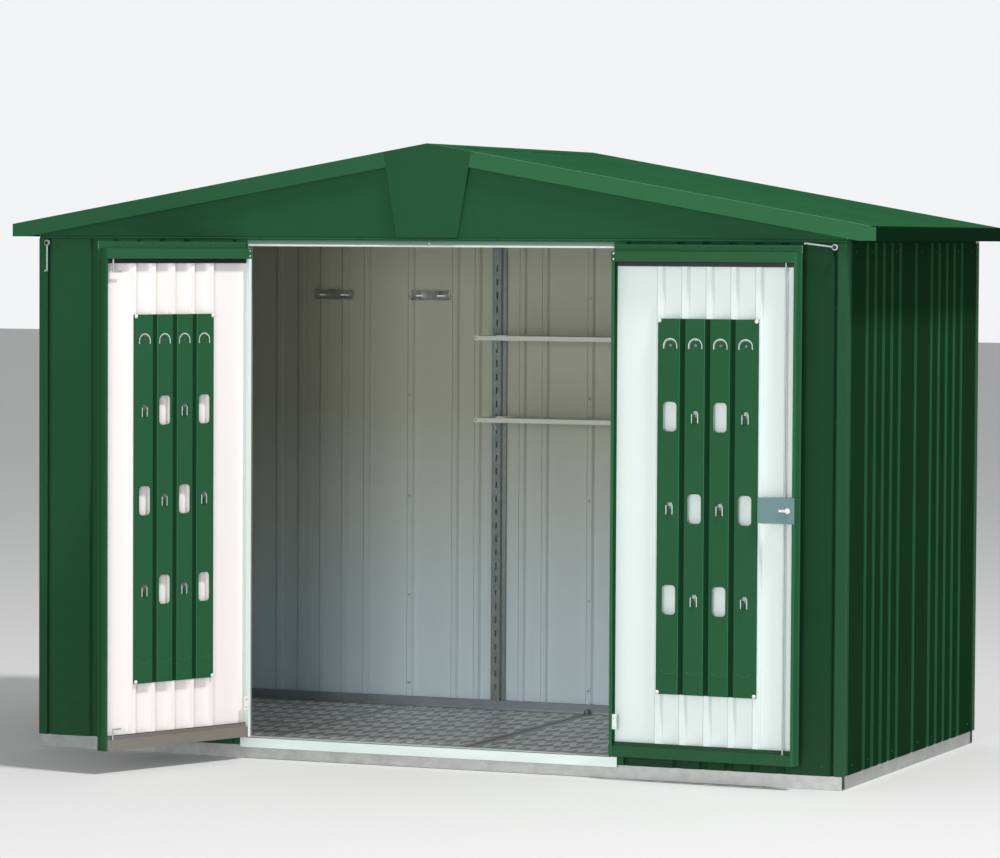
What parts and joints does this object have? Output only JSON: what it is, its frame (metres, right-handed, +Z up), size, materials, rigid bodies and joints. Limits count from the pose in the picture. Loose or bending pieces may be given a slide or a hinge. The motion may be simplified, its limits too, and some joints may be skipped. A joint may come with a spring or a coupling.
{
  "type": "metal garden storage shed",
  "caption": "Green ribbed sheet-metal garden shed with a low gable roof and open double doors with tool panels inside.",
  "frame": {"origin": "middle of the footprint at ground level, on the underside of the base frame", "axes": "+X to the right seen from the front and along the wide front, +Y from front to rear, +Z up"},
  "size_m": [3.142, 2.1446, 2.097],
  "materials": {
    "green_sheet": "satin coated steel sheet",
    "white_sheet": "satin coated steel sheet",
    "grey_sheet": "primer-coated steel sheet",
    "zinc": "bright zinc-plated steel",
    "aluminium": "checker plate and galvanised base"
  },
  "bodies": {
    "shed": {"base_frame": "aluminium", "floor_plates": "aluminium", "bottom_track": "aluminium", "corner_posts": "green_sheet", "front_wall_left": "green_sheet", "front_wall_right": "green_sheet", "rear_wall": "green_sheet", "left_wall": "green_sheet", "right_wall": "green_sheet", "door_jambs": "green_sheet", "front_header": "green_sheet", "head_rail": "zinc", "head_beam": "grey_sheet", "door_sill": "zinc", "sill_strip": "zinc", "front_gable": "green_sheet", "rear_gable": "green_sheet", "front_gable_plate": "green_sheet", "rear_gable_plate": "green_sheet", "front_verges": "green_sheet", "rear_verges": "green_sheet", "roof_left": "green_sheet", "roof_right": "green_sheet", "ridge_cap": "green_sheet", "ridge_beam": "grey_sheet", "eave_trims": "green_sheet", "top_rails": "grey_sheet", "shelf_rails": "grey_sheet", "upper_shelf_brackets": "grey_sheet", "upper_shelf": "grey_sheet", "lower_shelf_brackets": "grey_sheet", "lower_shelf": "grey_sheet", "tool_hangers": "zinc", "hinge_lugs": "zinc", "stay_pins": "zinc"},
    "left_door": {"left_door_skin": "green_sheet", "left_door_top_rail": "white_sheet", "left_door_bottom_rail": "white_sheet", "left_door_stiles": "white_sheet", "left_tool_panel": "white_sheet"},
    "right_door": {"right_door_skin": "green_sheet", "right_door_top_rail": "white_sheet", "right_door_bottom_rail": "white_sheet", "right_door_stiles": "white_sheet", "right_tool_panel": "white_sheet", "lock_case": "zinc"},
    "lock_lever_body": {"lock_lever": "zinc"},
    "upper_rod_body": {"upper_lock_rod": "zinc"},
    "lower_rod_body": {"lower_lock_rod": "zinc"},
    "left_top_bolt_body": {"left_top_bolt": "zinc"},
    "left_bottom_bolt_body": {"left_bottom_bolt": "zinc"},
    "left_stay_body": {"left_stay": "zinc"},
    "right_stay_body": {"right_stay": "zinc"}
  },
  "joints": [
    {"name": "left_door_hinge", "type": "hinge", "parent": "shed", "child": "left_door", "pos_m": [-0.668, -0.76, 0.9], "axis": [0, 0, -1], "range_deg": [-112, 66]},
    {"name": "right_door_hinge", "type": "hinge", "parent": "shed", "child": "right_door", "pos_m": [0.668, -0.76, 0.9], "axis": [0, 0, 1], "range_deg": [-178, 0]},
    {"name": "lock_turn", "type": "hinge", "parent": "right_door", "child": "lock_lever_body", "pos_m": [1.29962, -0.78206, 0.906], "axis": [-0.0349, -0.9994, 0], "range_deg": [0, 90]},
    {"name": "upper_rod_slide", "type": "slide", "parent": "right_door", "child": "upper_rod_body", "axis": [0, 0, 1], "range_m": [0, 0.018]},
    {"name": "lower_rod_slide", "type": "slide", "parent": "right_door", "child": "lower_rod_body", "axis": [0, 0, -1], "range_m": [0, 0.018]},
    {"name": "left_top_bolt_slide", "type": "slide", "parent": "left_door", "child": "left_top_bolt_body", "axis": [0, 0, 1], "range_m": [0, 0.018]},
    {"name": "left_bottom_bolt_slide", "type": "slide", "parent": "left_door", "child": "left_bottom_bolt_body", "axis": [0, 0, -1], "range_m": [0, 0.018]},
    {"name": "left_stay_hinge", "type": "hinge", "parent": "shed", "child": "left_stay_body", "pos_m": [-1.434, -0.766, 1.7576], "axis": [0, -1, 0], "range_deg": [0, 95]},
    {"name": "right_stay_hinge", "type": "hinge", "parent": "shed", "child": "right_stay_body", "pos_m": [1.434, -0.766, 1.7576], "axis": [0, -1, 0], "range_deg": [0, 90]}
  ],
  "couplings": [
    {"joint": "upper_rod_slide", "follows": "lock_turn", "m_per_rad": 0.011459},
    {"joint": "lower_rod_slide", "follows": "lock_turn", "m_per_rad": 0.011459}
  ]
}
